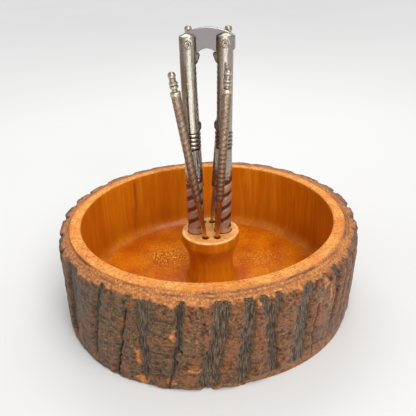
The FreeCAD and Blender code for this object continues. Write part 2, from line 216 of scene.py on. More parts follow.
def lofted(name, rings, steps):
    """A closed ring-shaped shell through rings of (axis, radius, height), the last bridged to the first."""
    nothing_selected()
    axis, radius, height = rings[0]
    bpy.ops.mesh.primitive_circle_add(
        vertices=steps, radius=radius * MM, location=(axis.x * MM, axis.y * MM, height * MM)
    )
    piece = named(name)
    bpy.ops.object.transform_apply(location=True)
    bpy.ops.object.mode_set(mode="EDIT")
    for (a, r0, z0), (b, r1, z1) in zip(rings, rings[1:]):
        move = {"value": ((b.x - a.x) * MM, (b.y - a.y) * MM, (z1 - z0) * MM)}
        bpy.ops.mesh.extrude_edges_move(TRANSFORM_OT_translate=move)
        centre = (b.x * MM, b.y * MM, z1 * MM)
        bpy.ops.transform.resize(value=(r1 / r0, r1 / r0, 1), center_override=centre)
    bpy.ops.mesh.select_all(action="DESELECT")
    bpy.ops.mesh.select_non_manifold()
    bpy.ops.mesh.bridge_edge_loops()
    close_up()
    return piece


def points(piece):
    """A mesh's points as an array of x, y and z in millimetres."""
    flat = np.empty(len(piece.data.vertices) * 3, np.float32)
    piece.data.vertices.foreach_get("co", flat)
    return flat.reshape(-1, 3).astype(float).T / MM


def set_points(piece, x, y, z):
    flat = (np.stack([x, y, z], axis=1) * MM).astype(np.float32).ravel()
    piece.data.vertices.foreach_set("co", flat)
    piece.data.update()


def paint(piece, **layers):
    """Keeps how much of a finish each point has, for a material to read."""
    for name, values in layers.items():
        layer = piece.data.attributes.new(name, "FLOAT", "POINT")
        layer.data.foreach_set("value", np.clip(values, 0, 1).astype(np.float32))


def cut(piece, cutter):
    """Takes the cutter's shape out of a piece."""
    choose(piece)
    modifier = piece.modifiers.new("cut", "BOOLEAN")
    modifier.object, modifier.solver = cutter, "EXACT"
    bpy.ops.object.modifier_apply(modifier="cut")
    bpy.data.objects.remove(cutter)


def drill(piece, radius, depth, place, turn=(0, 0, 0), sides=48):
    """Takes a round hole out of a piece: place is the hole's middle, and it is upright unless it is turned."""
    nothing_selected()
    place = [c * MM for c in place]
    bpy.ops.mesh.primitive_cylinder_add(
        vertices=sides, radius=radius * MM, depth=depth * MM, location=place, rotation=turn
    )
    cut(piece, bpy.context.object)


def put(piece, place, turn=(0, 0, 0)):
    """Moves and turns a piece, with its place kept in its mesh."""
    choose(piece)
    piece.rotation_euler = turn
    piece.location = Vector(place) * MM
    bpy.ops.object.transform_apply(location=True, rotation=True, scale=True)


def hand_over(piece, body, node, slot, *materials, sharp=40):
    """Gives a piece its finish and its body, and hides the CAD node that it stands for."""
    choose(piece)
    bpy.ops.object.shade_smooth_by_angle(angle=math.radians(sharp))
    for material in materials:
        if material.name not in piece.data.materials:
            piece.data.materials.append(material)
    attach(piece, body)
    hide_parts(node)


def step(low, high, value):
    """0 up to low, 1 from high, and smooth between."""
    t = np.clip((value - low) / (high - low), 0, 1)
    return t * t * (3 - 2 * t)


def dip(value, centre, spread):
    """1 at the centre, and a smooth bell down to 0 on both sides of it."""
    return np.exp(-(((value - centre) / spread) ** 2))


def grain(turns, height, round_cells, high_cells, seed):
    """Smooth chance from 0 to 1 over a round wall, whose way round and way up both run from 0 to 1."""
    table = np.random.default_rng(seed).random((high_cells + 2, round_cells))
    u, v = (turns % 1.0) * round_cells, np.clip(height, 0, 1) * high_cells
    i, j = np.floor(u).astype(int) % round_cells, np.floor(v).astype(int)
    s, t = step(0, 1, u - np.floor(u)), step(0, 1, v - np.floor(v))
    k = (i + 1) % round_cells
    lower = table[j, i] * (1 - s) + table[j, k] * s
    upper = table[j + 1, i] * (1 - s) + table[j + 1, k] * s
    return lower * (1 - t) + upper * t


# ---- finishes ----

# Which of a node's outputs is used, where it isn't the first.
USED_OUTPUT = {"TexCoord": "Object", "Attribute": "Fac", "Mix": 2}
# A Mix node that shows one colour through another.
STAINED = {"data_type": "RGBA", "blend_type": "MULTIPLY"}


def add(tree, kind, inputs=None, stops=None, **settings):
    """Adds one node and gives its output. An input is a value or another output, and stops are a ramp's."""
    node = tree.nodes.new("ShaderNode" + kind)
    for name, value in settings.items():
        setattr(node, name, value)
    for name, value in (inputs or {}).items():
        if isinstance(value, bpy.types.NodeSocket):
            tree.links.new(value, node.inputs[name])
        else:
            node.inputs[name].default_value = value
    if stops:
        ramp = node.color_ramp.elements
        while len(ramp) > 1:
            ramp.remove(ramp[0])
        ramp[0].position, ramp[0].color = stops[0]
        for place, shade in stops[1:]:
            ramp.new(place).color = shade
    return node.outputs[USED_OUTPUT.get(kind, 0)]


def started(name, **shader):
    """A new material, its tree, its shader with its plain values set, the piece's coordinates and the colours."""
    material = bpy.data.materials.new(name)
    material.use_nodes = True
    tree = material.node_tree
    surface = tree.nodes["Principled BSDF"]
    for socket, value in shader.items():
        surface.inputs[socket.replace("_", " ")].default_value = value
    return material, tree, surface, add(tree, "TexCoord"), bpy.context.scene.nut_bowl_colours


def covered(tree, skin, *coats):
    """Lays coats over a skin in turn. A coat is how much there is of it, which may be painted, and its colour."""
    for amount, over in coats:
        if isinstance(amount, str):
            amount = add(tree, "Attribute", attribute_name=amount)
        skin = add(tree, "Mix", {0: amount, 6: skin, 7: over}, data_type="RGBA")
    return skin


def joined(tree, surface, skin, roughness, relief, strength, depth):
    """Gives the shader its colour, its roughness and its bumps, whose depth is in millimetres."""
    bump = add(tree, "Bump", {"Height": relief, "Strength": strength, "Distance": depth * MM})
    for name, value in (("Base Color", skin), ("Roughness", roughness), ("Normal", bump)):
        tree.links.new(value, surface.inputs[name])


def grey(value):
    return (value, value, value, 1.0)


def sanded_end_grain():
    """Softwood cut across the grain, sanded and varnished: pale orange, short dark pores, and a soft gloss."""
    material, tree, surface, place, shades = started(
        "sanded_softwood_end_grain", Coat_Weight=0.08, Coat_Roughness=0.3, Specular_IOR_Level=0.2
    )
    # pores are 0.3 mm across, drawn at 1.3 mm so that they show
    pores = add(tree, "TexNoise", {"Vector": place, "Scale": 760, "Detail": 3, "Roughness": 0.65})
    blotch = add(tree, "TexNoise", {"Vector": place, "Scale": 90, "Detail": 2})
    browns = [(0.33, linear("9a5a24")), (0.41, linear("cc8438")), (0.50, shades.end_grain)]
    browns += [(0.68, linear("eaa858"))]
    skin = add(tree, "ValToRGB", {0: pores}, stops=browns)
    stain = add(tree, "ValToRGB", {0: blotch}, stops=[(0.35, linear("f4d8b8")), (0.6, grey(1.0))])
    skin = add(tree, "Mix", {0: 1.0, 6: skin, 7: stain}, **STAINED)
    # the outer 2 mm of the rim has taken up dark dust, and the post's top is pale, with a highlight painted along
    # its lip
    skin = covered(tree, skin, ("dusty", linear("a8643a")), ("pale", linear("f4c48c")))
    rough = add(tree, "MapRange", {0: pores, 3: 0.62, 4: 0.4})
    joined(tree, surface, skin, rough, pores, 0.35, 0.4)
    return material


def varnished_long_grain():
    """Softwood along the grain under thick varnish: deep amber with upright streaks, and a hard gloss."""
    material, tree, surface, place, shades = started(
        "varnished_softwood_long_grain",
        Coat_Weight=0.3,
        Coat_Roughness=0.12,
        Coat_Tint=linear("ffe4b0"),
        Specular_IOR_Level=0.12,
    )
    # fibres run upright, 2.5 mm apart and 40 mm long, over broad bands 14 mm apart
    upright = add(tree, "Mapping", {"Vector": place, "Scale": (400, 400, 25)})
    fibres = add(tree, "TexNoise", {"Vector": upright, "Scale": 1.0, "Detail": 4, "Roughness": 0.6})
    broad = add(tree, "Mapping", {"Vector": place, "Scale": (70, 70, 9)})
    bands = add(tree, "TexNoise", {"Vector": broad, "Scale": 1.0, "Detail": 2})
    ambers = [(0.25, linear("bc7410")), (0.5, shades.wall_wood), (0.78, linear("dc9224"))]
    skin = add(tree, "ValToRGB", {0: fibres}, stops=ambers)
    stain = add(tree, "ValToRGB", {0: bands}, stops=[(0.32, linear("efdcc0")), (0.62, grey(1.0))])
    skin = add(tree, "Mix", {0: 1.0, 6: skin, 7: stain}, **STAINED)
    # a resin streak, and a darker, redder tone low on the wall
    skin = covered(tree, skin, ("resin", linear("6e2c04")))
    rough = add(tree, "MapRange", {0: fibres, 3: 0.42, 4: 0.28})
    joined(tree, surface, skin, rough, fibres, 0.12, 0.4)
    return material


def varnished_floor():
    """End grain under clear varnish: orange and speckled, with small yellow glints painted into its colour behind
    the post.
    """
    material, tree, surface, place, shades = started(
        "varnished_softwood_floor",
        Coat_Weight=0.35,
        Coat_Roughness=0.1,
        Coat_Tint=linear("ffe4b0"),
        Specular_IOR_Level=0.12,
    )
    # pore clumps 1.6 mm across
    pores = add(tree, "TexNoise", {"Vector": place, "Scale": 620, "Detail": 3, "Roughness": 0.7})
    blotch = add(tree, "TexNoise", {"Vector": place, "Scale": 60, "Detail": 3})
    oranges = [(0.36, linear("b66208")), (0.5, shades.floor_wood), (0.66, linear("d4800f"))]
    skin = add(tree, "ValToRGB", {0: pores}, stops=oranges)
    stain = add(tree, "ValToRGB", {0: blotch}, stops=[(0.35, linear("dcb890")), (0.65, grey(1.0))])
    skin = add(tree, "Mix", {0: 1.0, 6: skin, 7: stain}, **STAINED)
    # painted glints: yellow specks where a glint patch is painted behind the post
    glint_specks = add(tree, "TexNoise", {"Vector": place, "Scale": 800, "Detail": 2, "Roughness": 0.6})
    bright = add(tree, "MapRange", {0: glint_specks, 1: 0.53, 2: 0.62})
    glint_patch = add(tree, "Attribute", attribute_name="glint")
    glints = add(tree, "Math", {0: glint_patch, 1: bright}, operation="MULTIPLY")
    skin = covered(tree, skin, ("resin", linear("8a4a06")), (glints, linear("ffc85a")))
    rough = add(tree, "MapRange", {0: blotch, 3: 0.4, 4: 0.25})
    joined(tree, surface, skin, rough, pores, 0.3, 0.6)
    return material


def soft_inner_bark():
    """Inner bark, sanded to a bevel: a dark thin line at the wood, then fibrous orange-brown rings."""
    material, tree, surface, place, shades = started("sanded_inner_bark", Specular_IOR_Level=0.25)
    # flecks 1 mm across
    flecks = add(tree, "TexNoise", {"Vector": place, "Scale": 900, "Detail": 3, "Roughness": 0.7})
    blotch = add(tree, "TexNoise", {"Vector": place, "Scale": 130, "Detail": 3})
    browns = [(0.32, linear("7a4c2c")), (0.5, shades.inner_bark), (0.68, linear("d09458"))]
    skin = add(tree, "ValToRGB", {0: flecks}, stops=browns)
    rings = add(tree, "Attribute", attribute_name="ringed")
    uneven = add(tree, "MapRange", {0: blotch, 1: 0.35, 2: 0.6, 3: 0.35, 4: 1.0})
    broken = add(tree, "Math", {0: rings, 1: uneven}, operation="MULTIPLY")
    skin = covered(tree, skin, (broken, linear("5a3524")))
    rough = add(tree, "MapRange", {0: flecks, 3: 0.85, 4: 0.65})
    joined(tree, surface, skin, rough, flecks, 0.5, 0.5)
    return material


def weathered_bark():
    """Rough outer bark: flaking olive to red-brown plates, grey fibres in the furrows, orange where sanded."""
    material, tree, surface, place, shades = started(
        "weathered_outer_bark", Specular_IOR_Level=0.2, Sheen_Weight=0.15, Sheen_Roughness=0.5
    )
    # upright fibres 0.7 mm apart, cracks across the plates 1.3 mm apart, flecks of 2 mm and patches of 9 mm
    upright = add(tree, "Mapping", {"Vector": place, "Scale": (1500, 1500, 200)})
    fibres = add(tree, "TexNoise", {"Vector": upright, "Scale": 1.0, "Detail": 4, "Roughness": 0.65})
    across = add(tree, "Mapping", {"Vector": place, "Scale": (160, 160, 800), "Rotation": (0.06, 0.1, 0)})
    cracks = add(tree, "TexNoise", {"Vector": across, "Scale": 1.0, "Detail": 3, "Roughness": 0.6})
    flecks = add(tree, "TexNoise", {"Vector": place, "Scale": 520, "Detail": 4, "Roughness": 0.7})
    blotch = add(tree, "TexNoise", {"Vector": place, "Scale": 110, "Detail": 3})
    # tan scales 1 mm across
    scales = add(tree, "TexNoise", {"Vector": place, "Scale": 1000, "Detail": 3, "Roughness": 0.7})
    mottle = [(0.30, linear("463a2e")), (0.42, linear("aca294")), (0.52, grey(1.0)), (0.64, grey(1.35))]
    fibre_greys = [(0.36, linear("19110b")), (0.5, shades.furrow), (0.64, linear("78624a"))]
    oranges = [(0.32, linear("6e4024")), (0.48, shades.sanded), (0.66, linear("c88a52"))]
    bared = add(tree, "ValToRGB", {0: flecks}, stops=oranges)
    skin = covered(tree, shades.plate_left, ("warm", shades.plate_right))
    stain = add(tree, "ValToRGB", {0: flecks}, stops=mottle)
    skin = covered(
        tree,
        add(tree, "Mix", {0: 1.0, 6: skin, 7: stain}, **STAINED),
        # lichen, then rust-brown patches
        (add(tree, "MapRange", {0: blotch, 1: 0.52, 2: 0.7, 3: 0.0, 4: 0.35}), linear("7a6040")),
        (add(tree, "MapRange", {0: blotch, 1: 0.47, 2: 0.36, 3: 0.0, 4: 0.55}), linear("8a5028")),
        (add(tree, "MapRange", {0: scales, 1: 0.56, 2: 0.68, 3: 0.0, 4: 0.75}), linear("a07a52")),
        (add(tree, "MapRange", {0: cracks, 1: 0.30, 2: 0.44, 3: 0.75, 4: 0.0}), linear("30241b")),
        ("furrow", add(tree, "ValToRGB", {0: fibres}, stops=fibre_greys)),
        ("sanded", bared),
        ("flake", bared),
        ("crack", linear("15100d")),
    )
    rough = add(tree, "MapRange", {0: flecks, 3: 0.95, 4: 0.7})
    relief = add(tree, "Math", {0: fibres, 1: flecks}, operation="ADD")
    relief = add(tree, "Math", {0: relief, 1: cracks}, operation="ADD")
    joined(tree, surface, skin, rough, relief, 0.7, 0.6)
    return material


def worn_metal(name, bright, dull, smooth, rubbed, dents, patches=0.3):
    """Plated steel worn by hands: bright where rubbed, brown in its hollows and where a reflection is painted on,
    with dents and upright scratches.
    """
    material, tree, surface, place, _ = started(name, Metallic=1.0)
    # dents 2.5 mm and spots 1 mm across, and fine scratches, drawn 0.7 mm apart so that they show
    along = add(tree, "Mapping", {"Vector": place, "Scale": (1500, 1500, 90)})
    scratches = add(tree, "TexNoise", {"Vector": along, "Scale": 1.0, "Detail": 3})
    dent = add(tree, "TexNoise", {"Vector": place, "Scale": 420, "Detail": 2})
    spots = add(tree, "TexNoise", {"Vector": place, "Scale": 900, "Detail": 3, "Roughness": 0.7})
    tarnish_and_reflection_layer = add(tree, "Attribute", attribute_name="tarnish")
    patchy = add(tree, "MapRange", {0: spots, 1: 0.35, 2: 0.65, 3: -patches, 4: patches})
    amount = add(tree, "Math", {0: tarnish_and_reflection_layer, 1: patchy}, operation="ADD", use_clamp=True)
    # thin tarnish and faint painted reflection are dull, and thick ones are amber-brown
    skin = add(tree, "ValToRGB", {0: amount}, stops=[(0.0, bright), (0.75, dull), (1.0, linear("8a603c"))])
    # where the plating is rubbed matt it scatters light, with a pink cast
    matt = add(tree, "Attribute", attribute_name="matt")
    skin = covered(tree, skin, (matt, linear("c29c86")))
    tree.links.new(add(tree, "MapRange", {0: matt, 3: 1.0, 4: 0.3}), surface.inputs["Metallic"])
    pits = add(tree, "ValToRGB", {0: spots}, stops=[(0.28, grey(1 - 2 * patches)), (0.38, grey(1.0))])
    skin = add(tree, "Mix", {0: 1.0, 6: skin, 7: pits}, **STAINED)
    dulled = add(tree, "Math", {0: amount, 1: matt}, operation="MAXIMUM")
    rough = add(tree, "MapRange", {0: dulled, 3: smooth, 4: rubbed})
    relief = add(tree, "Math", {0: scratches, 1: dent}, operation="ADD")
    joined(tree, surface, skin, rough, relief, dents, 0.3)
    return material


def finish(name, make, *values):
    """A material made once and shared by like pieces."""
    return bpy.data.materials.get(name) or make(*values)


def metal(name, *values):
    return finish(name, worn_metal, name, *values)


def nickel():
    """Nickel-plated steel, polished and worn: warm silver."""
    shades = bpy.context.scene.nut_bowl_colours
    return metal("worn_nickel_plated_steel", shades.nickel, shades.tarnish, 0.1, 0.42, 0.45)


def pick_steel():
    """Nickel-plated steel with most of its shine gone: brown-grey."""
    shades = bpy.context.scene.nut_bowl_colours
    return metal("dull_nickel_plated_steel", shades.pick_steel, shades.tarnish, 0.3, 0.5, 0.4)


def bowl_reflection_steel():
    """Bare steel with the amber reflection of the bowl painted into its colour."""
    return metal("varnish_stained_steel", linear("d6ac6c"), linear("8a5c30"), 0.28, 0.5, 0.3)


def satin_plate():
    """Pressed steel sheet with a satin plate: an even grey with a faint mauve tone."""
    plate_steel = bpy.context.scene.nut_bowl_colours.plate_steel
    return metal("satin_plated_sheet_steel", plate_steel, linear("6a5e60"), 0.42, 0.5, 0.1, 0.1)


def zinc_screw():
    """Zinc-plated screw steel: cool grey and a little dull."""
    return metal("zinc_plated_screw_steel", linear("b4b4b0"), linear("6c6a64"), 0.4, 0.6, 0.3)


def stage_paint():
    """Matt studio paint: pale warm grey with a faint mottle."""
    material, tree, surface, place, _ = started("matt_studio_paint", Roughness=0.9, Specular_IOR_Level=0.1)
    cloud = add(tree, "TexNoise", {"Vector": place, "Scale": 3, "Detail": 2})
    pale = add(tree, "ValToRGB", {0: cloud}, stops=[(0.3, linear("d2d0cd")), (0.7, linear("d6d4d1"))])
    tree.links.new(pale, surface.inputs["Base Color"])
    return material


def end_grain():
    return finish("sanded_softwood_end_grain", sanded_end_grain)


def long_grain():
    return finish("varnished_softwood_long_grain", varnished_long_grain)


# ---- the log ----

HOLLOW_RADIUS, FILLET, RIM_ROUND = 80.0, 8, 1.2
TENON = 9.0  # the radius of the post's tenon and its mortise
BEVEL_WIDE, BEVEL_DROP = 4.2, 3.4  # the bark's sanded edge in front
LIFT_BEHIND = 2.9  # how much of that drop the edge gets back behind


class NUTBOWL_OT_wood(bpy.types.Operator):
    """Lofts the log's wood: outside, rim, hollow, floor, mortise and the screw's hole in one closed skin"""

    bl_idname = "nut_bowl.wood"
    bl_label = "Log wood"

    def execute(self, context):
        outer, mortise = wide("log_bowl"), foot("post")
        rings = [(WOOD, outer - 0.3, 0), (WOOD, outer, 0.4)]
        rings += [(WOOD, outer, z) for z in (20, 40, RIM - 0.01)]
        # the rim's flat, then its rounded inner edge
        for t in (0.05, 0.3, 0.6, 1.0):
            rings.append((WOOD.lerp(HOLLOW, t), outer + (HOLLOW_RADIUS + RIM_ROUND - outer) * t, RIM))
        for a in (0.4, 0.8, 1.2, 1.57):
            radius = HOLLOW_RADIUS + RIM_ROUND * (1 - math.sin(a))
            rings.append((HOLLOW, radius, RIM - RIM_ROUND * (1 - math.cos(a))))
        rings += [(HOLLOW, HOLLOW_RADIUS, z) for z in np.linspace(RIM - 4, FLOOR + FILLET, 14)]
        for a in (0.2, 0.4, 0.6, 0.8, 0.95, 1.1, 1.25, 1.4, 1.57):
            radius = HOLLOW_RADIUS - FILLET * (1 - math.cos(a))
            rings.append((HOLLOW, radius, FLOOR + FILLET * (1 - math.sin(a))))
        rings += [(HOLLOW.lerp(POST, t), 72 - 53 * t, FLOOR) for t in np.linspace(0.04, 1, 24)]
        # the mortise for the post, and the stepped hole for its screw
        rings += [(POST, TENON, FLOOR), (POST, TENON, mortise), (POST, 2.0, mortise), (POST, 2.0, 2.7)]
        rings += [(POST, 4.1, 0.6), (POST, 4.1, 0)]
        piece = lofted("bowl_wood", rings, 256)
        x, y, z = points(piece)
        from_wood = np.hypot(x - WOOD.x, y - WOOD.y)
        from_hollow = np.hypot(x - HOLLOW.x, y - HOLLOW.y)
        way = np.degrees(np.arctan2(y - HOLLOW.y, x - HOLLOW.x)) % 360
        turns = way / 360
        # a resin streak on the back wall, broad low down, and fainter ones beside it
        streak = np.zeros_like(x)
        for at, spread, low, high, depth in (
            (130.5, 1.0, 30, 60, 0.6),
            (131.5, 2.2, 14, 40, 0.45),
            (124.0, 3.0, 14, 45, 0.15),
            (104.0, 2.0, 12, 60, 0.2),
            (68.0, 2.5, 12, 50, 0.2),
            (38.0, 2.0, 12, 45, 0.15),
            (250.0, 2.0, 12, 60, 0.3),
        ):
            run = step(low, low + 5, z) * (1 - step(high - 4, high, z))
            streak = np.maximum(streak, depth * dip(way, at, spread) * run)
        on_floor = z < FLOOR + 0.5
        low_down = 0.3 * (1 - step(FLOOR, FLOOR + 30, z)) * (z > FLOOR + 0.5)
        # a faint darker ring on the floor round the hollow's middle
        dark_ring = dip(from_hollow, 43.5, 1.6) * (0.3 + 0.6 * grain(turns, z, 9, 2, 4)) * on_floor
        # yellow glints are painted in a patch on the floor behind the post at its left, and in a lesser one at its
        # right
        glint_patches = np.maximum(dip(x, -29, 15) * dip(y, 34, 15), 0.5 * dip(x, 38, 16) * dip(y, 24, 14))
        paint(
            piece,
            glint=glint_patches * on_floor,
            resin=np.maximum.reduce([streak * (z > FLOOR + 0.5), low_down, 0.6 * dark_ring]),
            dusty=0.8 * step(outer - 1.6, outer - 0.2, from_wood) * grain(turns, z, 60, 2, 8),
        )
        hand_over(piece, "bowl", "log_bowl", "varnished_log", long_grain(), end_grain(), varnished_floor())
        # the rim and the base are sanded end grain, the floor is varnished end grain, and walls are long grain
        for face in piece.data.polygons:
            height, level = face.center.z / MM, abs(face.normal.z)
            if height > RIM - 0.9 or height < 3:
                face.material_index = 1
            elif height < FLOOR + 0.9 and level > 0.85:
                face.material_index = 2
        return {"FINISHED"}


def level_behind(way):
    """How level the bark's sanded edge is: 0 in front, where it is bevelled, and 1 behind."""
    return step(-0.35, 0.5, np.sin(np.radians(way)))


class NUTBOWL_OT_inner_bark(bpy.types.Operator):
    """Lofts the inner bark, a thin ring whose top is sanded to a bevel"""

    bl_idname = "nut_bowl.inner_bark"
    bl_label = "Inner bark"

    def execute(self, context):
        wood = wide("log_bowl") + 0.05
        outer, edge = wide("inner_bark"), RIM - BEVEL_DROP
        rings = [(WOOD, wood, 0), (WOOD, wood, 30), (WOOD, wood, RIM - 2)]
        for t in np.linspace(0, 1, 12):
            rings.append((WOOD.lerp(BAND, t), wood + (outer - wood) * t, RIM - 0.3 * t))
        rings += [(BAND, outer, edge), (BAND, outer, 30), (BAND, outer, 0)]
        piece = lofted("inner_bark_ring", rings, 640)
        x, y, z = points(piece)
        away = np.hypot(x - BAND.x, y - BAND.y)
        turns = np.arctan2(y, x) / TURN
        on_top = z > RIM - 0.6
        drop = BEVEL_DROP - LIFT_BEHIND * level_behind(turns * 360)
        gap = away - (outer - BEVEL_WIDE)
        bevel = RIM - np.maximum(0, gap) * drop / BEVEL_WIDE
        flat = away * 0
        uneven = 0.5 * (grain(turns, flat, 260, 1, 11) - 0.5) + 0.35 * (grain(turns, flat, 620, 1, 12) - 0.5)
        inside = np.hypot(x - WOOD.x, y - WOOD.y) < wood + 0.05
        z = np.where(on_top, np.minimum(bevel + uneven * ~inside, RIM), z)
        z = np.where(~on_top & (z > edge - 1) & (away > outer - 0.5), bevel, z)
        set_points(piece, x, y, z)
        # the dark line where bark meets wood comes and goes, and so does a second one further out
        wave = 0.8 * (grain(turns, flat, 24, 1, 13) - 0.5)
        line = dip(gap - wave, 0.9, 0.55) * step(0.2, 0.55, grain(turns, flat, 40, 1, 14))
        second = 0.8 * dip(gap - wave, 2.6, 0.6) * step(0.35, 0.7, grain(turns, flat, 30, 1, 15))
        paint(piece, ringed=np.maximum(line, second))
        hand_over(piece, "bowl", "inner_bark", "inner_bark", soft_inner_bark())
        return {"FINISHED"}


# Furrows in the bark: the path as (height, degrees round from the right), the widths at its foot and top, how
# deep it is against the deepest, and how black.
FURROWS = (
    (((7, -152), (40, -149), (56, -148)), (12, 12), 0.9, 0.1),
    (((8, -136), (57, -130)), (2.0, 4.0), 0.7, 0.6),
    (((3, -124.8), (48, -119)), (2.0, 1.3), 1.0, 1.0),
    (((4, -113.6), (30, -113.4), (58, -112.5)), (3.5, 10), 0.85, 0.0),
    (((3, -105), (34, -101), (59, -100)), (1.3, 6), 0.9, 0.5),
    (((0, -92.5), (24, -92)), (7, 4), 0.7, 0.1),
    (((2, -92.5), (38, -87.5), (59, -86)), (11, 9), 0.9, 0.0),
    (((3, -80.3), (48, -77.8), (59, -77.3)), (8, 4.5), 1.0, 0.1),
    (((3, -67.5), (32, -70), (49, -70.7), (56, -72)), (6.5, 6), 1.0, 0.2),
    (((44, -68.5), (59, -66.5)), (3.5, 5), 0.95, 0.1),
    (((4, -57), (45, -57.5), (59, -54)), (10, 9), 0.85, 0.0),
    (((4, -50.5), (40, -50.5)), (1.2, 1.6), 0.7, 0.7),
    (((10, -39.5), (40, -39.0), (59, -41)), (3.5, 5.5), 1.0, 0.3),
    (((2, -33.5), (59, -33)), (1.6, 1.6), 0.55, 0.0),
    (((2, -27), (59, -26)), (2.4, 2.0), 0.6, 0.1),
    (((2, -19), (59, -18.5)), (2.0, 1.8), 0.6, 0.0),
    (((2, -11), (59, -10)), (3.0, 2.6), 0.7, 0.2),
    (((2, -2), (59, -1)), (2.5, 4), 0.8, 0.1),
    (((2, 9), (59, 8)), (6, 4), 0.8, 0.0),
    (((2, 20), (59, 21)), (3, 5), 0.9, 0.2),
    (((2, 32), (35, 30), (59, 31)), (7, 5), 0.8, 0.0),
    (((2, 43), (59, 45)), (4, 6), 0.9, 0.1),
    (((2, 57), (59, 56)), (8, 7), 0.8, 0.0),
    (((2, 68), (59, 69)), (2, 3), 0.9, 0.8),
    (((2, 80), (59, 79)), (6, 8), 0.9, 0.0),
    (((2, 92), (59, 93)), (4, 6), 0.8, 0.2),
    (((2, 104), (59, 103)), (7, 8), 0.9, 0.0),
    (((2, 115), (59, 117)), (3, 3), 0.8, 0.6),
    (((2, 127), (59, 127)), (8, 7), 0.9, 0.0),
    (((2, 139), (59, 141)), (5, 6), 0.8, 0.1),
    (((2, 150), (59, 152)), (6, 5), 0.9, 0.2),
    (((2, 162), (59, 163)), (5, 8), 0.8, 0.0),
    (((2, 174), (59, 174)), (6, 5), 1.0, 0.3),
    (((2, 185), (59, 187)), (5, 4), 0.9, 0.2),
    (((2, 196), (30, 198), (59, 199)), (4, 3), 0.9, 0.4),
)
# Where plates have flaked to the orange bark below: degrees, height, half width and half height.
FLAKES = (
    (-115, 19, 2.4, 5),
    (-102.5, 37, 1.8, 3.5),
    (-95.5, 15, 5.5, 1.6),
    (-91.5, 19, 2.0, 3.0),
    (-114.5, 4, 4.5, 2.5),
    (-73.5, 54, 3.0, 2.5),
    (-47, 52, 3.0, 3.0),
    (-44, 40, 1.2, 8.0),
    (-104, 6, 3.0, 2.0),
    (60, 30, 3, 6),
    (135, 20, 4, 3),
    (178, 42, 2, 5),
)
INSECT_HOLES = ((-92.5, 46), (-63.5, 30), (-65.5, 28), (-100, 27), (25, 33), (110, 22))


def off_from(way, at):
    """How far round a way in degrees is from another, from -180 to 180."""
    return (way - at + 180) % 360 - 180


def bark_skin(way, height, sizes):
    """How far the bark's surface is from the log's centre at each point, and how much it has of each finish."""
    radius = wide("outer_bark") + 0.32
    turns, rise = way / 360, height / RIM
    skin = radius + 1.5 * np.sin(np.radians(way)) ** 2 + 1.3 * level_behind(way)
    furrow, crack, bed = np.zeros((3, len(way)))
    clear = np.full_like(way, 99.0)
    here = turns * 0 + 0.5
    edging = 1.0 * (grain(turns, rise, 220, 30, 33) - 0.5)
    for number, (path, widths, depth, black) in enumerate(FURROWS):
        heights, angles = zip(*path)
        sway = 0.9 * (grain(here, rise, 3, 16, 40 + number) - 0.5)
        sway = sway + 0.5 * (grain(here, rise, 3, 46, 90 + number) - 0.5)
        off = off_from(way, np.interp(height, heights, angles)) * math.pi / 180 * radius - sway * 2.0 + edging
        half = np.interp(height, heights, np.linspace(*widths, len(path))) / 2
        half = half * (0.65 + 0.7 * grain(here, rise, 3, 30, 140 + number))
        low, high = heights[0], heights[-1]
        ends = step(low - 3, low + 3, height) * (1 - step(high - 1, high + 2, height))
        half = half * (0.35 + 0.65 * ends)
        inside = (1 - step(half - 0.7, half + 0.5, np.abs(off))) * step(0.02, 0.25, ends)
        bed = np.maximum(bed, inside * depth)
        furrow = np.maximum(furrow, inside)
        crack = np.maximum(crack, black * (1 - step(half * 0.3, half * 0.75 + 0.3, np.abs(off))) * inside)
        clear = np.minimum(clear, np.where(ends > 0.02, np.abs(off) - half, 99))
    fibres = grain(turns, rise, 520, 14, 21)
    lumps = grain(turns, rise, 150, 22, 22)
    scales = grain(turns + 0.004 * np.sin(rise * 9), rise, 90, 44, 23)
    swells = grain(turns, rise, 40, 5, 24)
    on_plate = 1 - furrow
    rounding = 0.55 * (1 - step(0, 3.0, clear)) * on_plate
    uneven = (lumps - 0.5) * 0.9 + (scales - 0.5) * 0.9 + (swells - 0.5) * 1.6
    uneven = sizes.plate_unevenness / MM * uneven * (1 - 0.6 * furrow)
    ridges = 0.35 * (grain(turns, rise, 300, 3, 25) - 0.5) * on_plate
    skin = skin - bed * sizes.furrow_depth / MM - rounding + uneven + ridges
    skin += 0.5 * (fibres - 0.5) * furrow
    # thin breaks across the plates
    across = grain(turns, rise, 70, 60, 26) + 0.4 * (grain(turns, rise, 200, 60, 27) - 0.5)
    breaks = (1 - step(0.10, 0.2, across)) * on_plate
    skin -= 0.35 * breaks
    flake = np.zeros_like(way)
    ragged = 0.6 * (grain(turns, rise, 240, 40, 28) - 0.5)
    for at, level, half_wide, half_high in FLAKES:
        off = off_from(way, at) * math.pi / 180 * radius / half_wide
        patch = 1 - step(0.75, 1.05, np.hypot(off, (height - level) / half_high) + ragged)
        flake = np.maximum(flake, patch * on_plate)
    # small ones are scattered between
    small = step(0.84, 0.92, grain(turns, rise, 300, 40, 29)) * step(0.5, 0.7, grain(turns, rise, 14, 3, 30))
    flake = np.maximum(flake, 0.6 * small * on_plate)
    skin -= 0.45 * flake
    for at, level in INSECT_HOLES:
        hole = 1 - step(0.5, 1.1, np.hypot(off_from(way, at) * math.pi / 180 * radius, height - level))
        skin -= 1.2 * hole
        crack = np.maximum(crack, hole)
    warm = step(-118, -70, way) * (1 - step(120, 200, way)) + 0.7 * (swells - 0.5)
    crack = np.maximum(crack, 0.55 * breaks)
    return skin, furrow, crack, flake, warm


